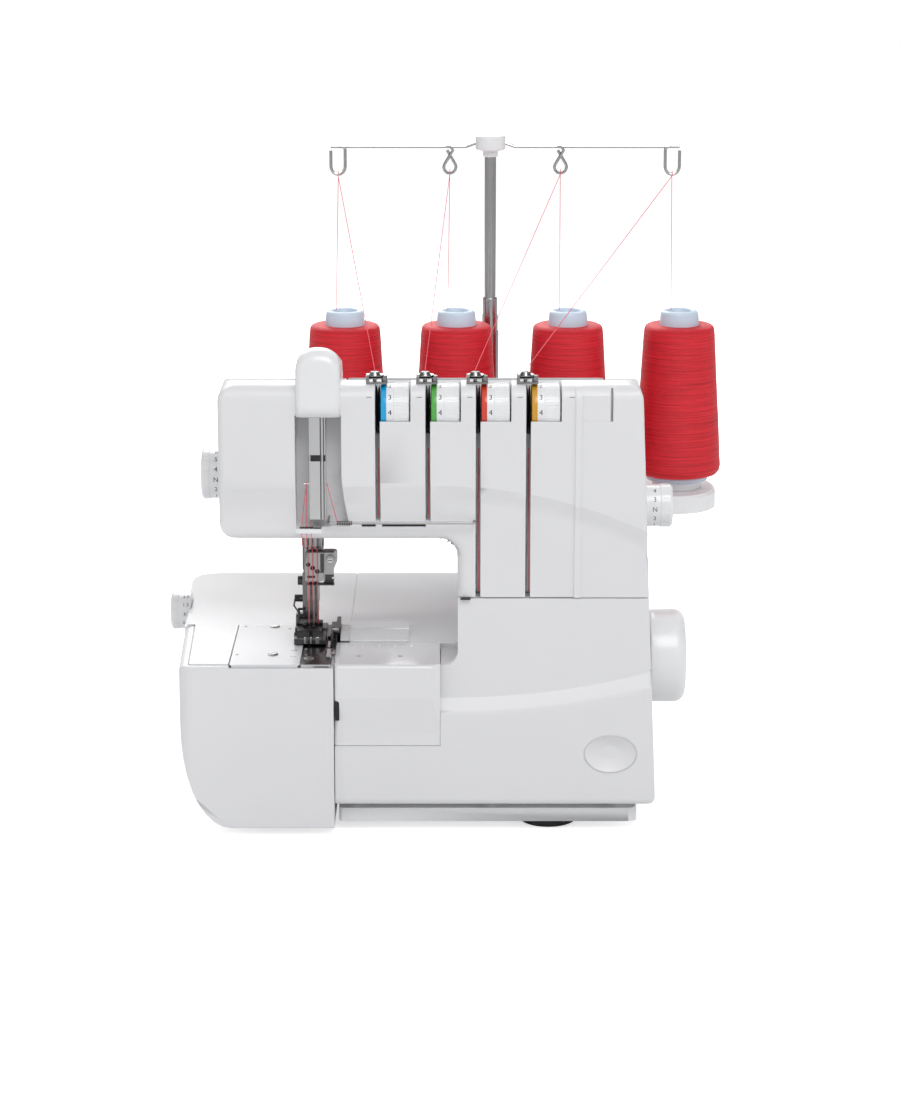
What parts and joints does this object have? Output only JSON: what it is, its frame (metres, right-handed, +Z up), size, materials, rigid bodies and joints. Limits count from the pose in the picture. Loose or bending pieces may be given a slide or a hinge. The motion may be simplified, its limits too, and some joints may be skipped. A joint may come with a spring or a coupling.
{
  "type": "serger overlock machine",
  "caption": "Overlock sewing machine with free arm, coloured tension dials, thread cones on a rear stand, telescopic thread guide mast, handwheel and opening front cover.",
  "frame": {"origin": "on the table, in the middle of the machine's width and depth, at the bottom of the rubber feet", "axes": "+X to the right towards the handwheel, +Y to the back towards the thread stand, +Z up; the front with the dials faces -Y"},
  "size_m": [0.3811, 0.272, 0.425],
  "materials": {
    "white_shell": "satin white moulded housing",
    "white_trim": "smooth white plastic",
    "grey_base": "pale grey plastic",
    "handle_grey": "grey plastic",
    "black_rubber": "black rubber",
    "black_plastic": "black plastic",
    "lamp_cover": "frosted lamp cover",
    "chrome_steel": "bright plated steel",
    "steel": "ground steel",
    "dark_steel": "dark steel",
    "dial_blue": "blue ringed dial",
    "dial_green": "green ringed dial",
    "dial_red": "orange-red ringed dial",
    "dial_yellow": "yellow ringed dial",
    "red_thread": "red polyester thread"
  },
  "bodies": {
    "machine": {"base_pan": "grey_base", "rubber_feet": "black_rubber", "bed_housing": "white_shell", "front_housing": "white_shell", "rear_housing": "white_shell", "cloth_plate": "white_trim", "needle_plate": "chrome_steel", "machine_screws": "steel", "take_up_cover": "white_trim", "take_up_strip": "chrome_steel", "arm_thread_guides": "chrome_steel", "pretension_guides": "chrome_steel", "tension_units": "dark_steel", "lower_knife": "steel", "looper_guard": "white_shell", "looper_shafts": "steel", "spool_stand": "white_trim", "spool_pins": "white_trim", "cone_holders": "white_trim", "mast_lower_tube": "chrome_steel", "power_inlet": "black_plastic", "sewing_lamp": "lamp_cover", "supply_threads": "red_thread", "machine_threads": "red_thread"},
    "drive": {"handwheel": "white_trim", "main_shaft": "steel"},
    "needle_drive": {"needle_bar": "steel", "needle_clamp": "steel", "needles": "chrome_steel"},
    "take_up": {"take_up_lever": "steel"},
    "upper_looper_arm": {"upper_looper": "steel"},
    "lower_looper_arm": {"lower_looper": "steel"},
    "knife_arm": {"upper_knife": "dark_steel"},
    "feed": {"feed_dogs": "steel"},
    "presser": {"presser_bar": "dark_steel", "presser_foot": "chrome_steel"},
    "lifter": {"presser_lifter": "dark_steel"},
    "tension_1": {"tension_dial_1": "dial_blue"},
    "tension_2": {"tension_dial_2": "dial_green"},
    "tension_3": {"tension_dial_3": "dial_red"},
    "tension_4": {"tension_dial_4": "dial_yellow"},
    "pressure": {"pressure_dial": "white_trim"},
    "differential": {"feed_dial": "white_trim"},
    "stitch_length": {"length_dial": "white_trim"},
    "hinge": {"hinge_shaft": "chrome_steel"},
    "cover": {"front_cover": "white_shell", "side_table": "white_shell"},
    "storage": {"accessory_box": "white_shell"},
    "mast": {"mast_slide_tube": "chrome_steel", "mast_cap": "white_trim", "guide_wire": "chrome_steel"},
    "cone_1": {"thread_cone_1": "red_thread"},
    "cone_2": {"thread_cone_2": "red_thread"},
    "cone_3": {"thread_cone_3": "red_thread"},
    "cone_4": {"thread_cone_4": "red_thread"},
    "handle": {"carry_handle": "handle_grey"},
    "switch": {"power_switch": "black_plastic"},
    "finger": {"finger_lever": "steel"}
  },
  "joints": [
    {"name": "handwheel_turn", "type": "hinge", "parent": "machine", "child": "drive", "pos_m": [0.14, -0.041, 0.0944], "axis": [1, 0, 0], "continuous": true},
    {"name": "needle_bar_stroke", "type": "slide", "parent": "machine", "child": "needle_drive", "axis": [0, 0, 1], "range_m": [-0.018, 0.006], "deforming": ["machine_threads"]},
    {"name": "take_up_swing", "type": "hinge", "parent": "machine", "child": "take_up", "pos_m": [-0.0827, -0.102, 0.265], "axis": [1, 0, 0], "range_deg": [-16, 6]},
    {"name": "upper_looper_swing", "type": "hinge", "parent": "machine", "child": "upper_looper_arm", "pos_m": [-0.022, -0.086, 0.084], "axis": [0, 1, 0], "range_deg": [-3.2, 1.1]},
    {"name": "lower_looper_swing", "type": "hinge", "parent": "machine", "child": "lower_looper_arm", "pos_m": [-0.034, -0.074, 0.052], "axis": [0, 1, 0], "range_deg": [-6, 2]},
    {"name": "knife_swing", "type": "hinge", "parent": "machine", "child": "knife_arm", "pos_m": [-0.0734, -0.055, 0.082], "axis": [1, 0, 0], "range_deg": [-1.8, 5.1]},
    {"name": "feed_travel", "type": "slide", "parent": "machine", "child": "feed", "axis": [0, 1, 0], "range_m": [-0.0009, 0.0024]},
    {"name": "lifter_swing", "type": "hinge", "parent": "machine", "child": "lifter", "pos_m": [-0.0955, 0.014, 0.209], "axis": [0, 1, 0], "range_deg": [0, 60]},
    {"name": "presser_lift", "type": "slide", "parent": "machine", "child": "presser", "axis": [0, 0, 1], "range_m": [0, 0.005]},
    {"name": "tension_1_turn", "type": "hinge", "parent": "machine", "child": "tension_1", "pos_m": [-0.0345, -0.1157, 0.278], "axis": [1, 0, 0], "range_deg": [-150, 150]},
    {"name": "tension_2_turn", "type": "hinge", "parent": "machine", "child": "tension_2", "pos_m": [-0.0029, -0.1157, 0.278], "axis": [1, 0, 0], "range_deg": [-150, 150]},
    {"name": "tension_3_turn", "type": "hinge", "parent": "machine", "child": "tension_3", "pos_m": [0.0287, -0.1157, 0.278], "axis": [1, 0, 0], "range_deg": [-150, 150]},
    {"name": "tension_4_turn", "type": "hinge", "parent": "machine", "child": "tension_4", "pos_m": [0.0603, -0.1157, 0.278], "axis": [1, 0, 0], "range_deg": [-150, 150]},
    {"name": "pressure_turn", "type": "hinge", "parent": "machine", "child": "pressure", "pos_m": [-0.154, -0.066, 0.2245], "axis": [1, 0, 0], "range_deg": [-150, 150]},
    {"name": "differential_turn", "type": "hinge", "parent": "machine", "child": "differential", "pos_m": [-0.184, 0.014, 0.1106], "axis": [1, 0, 0], "range_deg": [-100, 100]},
    {"name": "stitch_length_turn", "type": "hinge", "parent": "machine", "child": "stitch_length", "pos_m": [0.14, -0.026, 0.194], "axis": [1, 0, 0], "range_deg": [-150, 150]},
    {"name": "cover_release", "type": "slide", "parent": "machine", "child": "hinge", "axis": [1, 0, 0], "range_m": [0, 0.006], "stiffness_N_per_m": 40},
    {"name": "cover_swing", "type": "hinge", "parent": "hinge", "child": "cover", "pos_m": [0.028, -0.1249, 0.0256], "axis": [1, 0, 0], "range_deg": [0, 85]},
    {"name": "storage_pull", "type": "slide", "parent": "machine", "child": "storage", "axis": [-1, 0, 0], "range_m": [0, 0.12]},
    {"name": "mast_slide", "type": "slide", "parent": "machine", "child": "mast", "axis": [0, 0, 1], "range_m": [-0.098, 0], "deforming": ["supply_threads"]},
    {"name": "cone_1_spin", "type": "hinge", "parent": "machine", "child": "cone_1", "pos_m": [-0.0734, 0.0965, 0.23], "axis": [0, 0, 1], "continuous": true},
    {"name": "cone_2_spin", "type": "hinge", "parent": "machine", "child": "cone_2", "pos_m": [0.0045, 0.0965, 0.23], "axis": [0, 0, 1], "continuous": true},
    {"name": "cone_3_spin", "type": "hinge", "parent": "machine", "child": "cone_3", "pos_m": [0.0824, 0.0965, 0.23], "axis": [0, 0, 1], "continuous": true},
    {"name": "cone_4_spin", "type": "hinge", "parent": "machine", "child": "cone_4", "pos_m": [0.1603, 0.0965, 0.23], "axis": [0, 0, 1], "continuous": true},
    {"name": "handle_raise", "type": "hinge", "parent": "machine", "child": "handle", "pos_m": [0.0165, -0.049, 0.2725], "axis": [-1, 0, 0], "range_deg": [0, 90]},
    {"name": "switch_rock", "type": "hinge", "parent": "machine", "child": "switch", "pos_m": [0.1262, 0.037, 0.071], "axis": [0, 1, 0], "range_deg": [-8, 0]},
    {"name": "finger_shift", "type": "slide", "parent": "machine", "child": "finger", "axis": [0, -1, 0], "range_m": [0, 0.01]}
  ],
  "couplings": [
    {"joint": "take_up_swing", "follows": "needle_bar_stroke", "rad_per_m": 15},
    {"joint": "upper_looper_swing", "follows": "needle_bar_stroke", "rad_per_m": 2.8},
    {"joint": "lower_looper_swing", "follows": "needle_bar_stroke", "rad_per_m": 5.6},
    {"joint": "knife_swing", "follows": "needle_bar_stroke", "rad_per_m": -4.8},
    {"joint": "feed_travel", "follows": "needle_bar_stroke", "ratio": -0.125},
    {"joint": "lifter_swing", "follows": "presser_lift", "rad_per_m": 209}
  ]
}
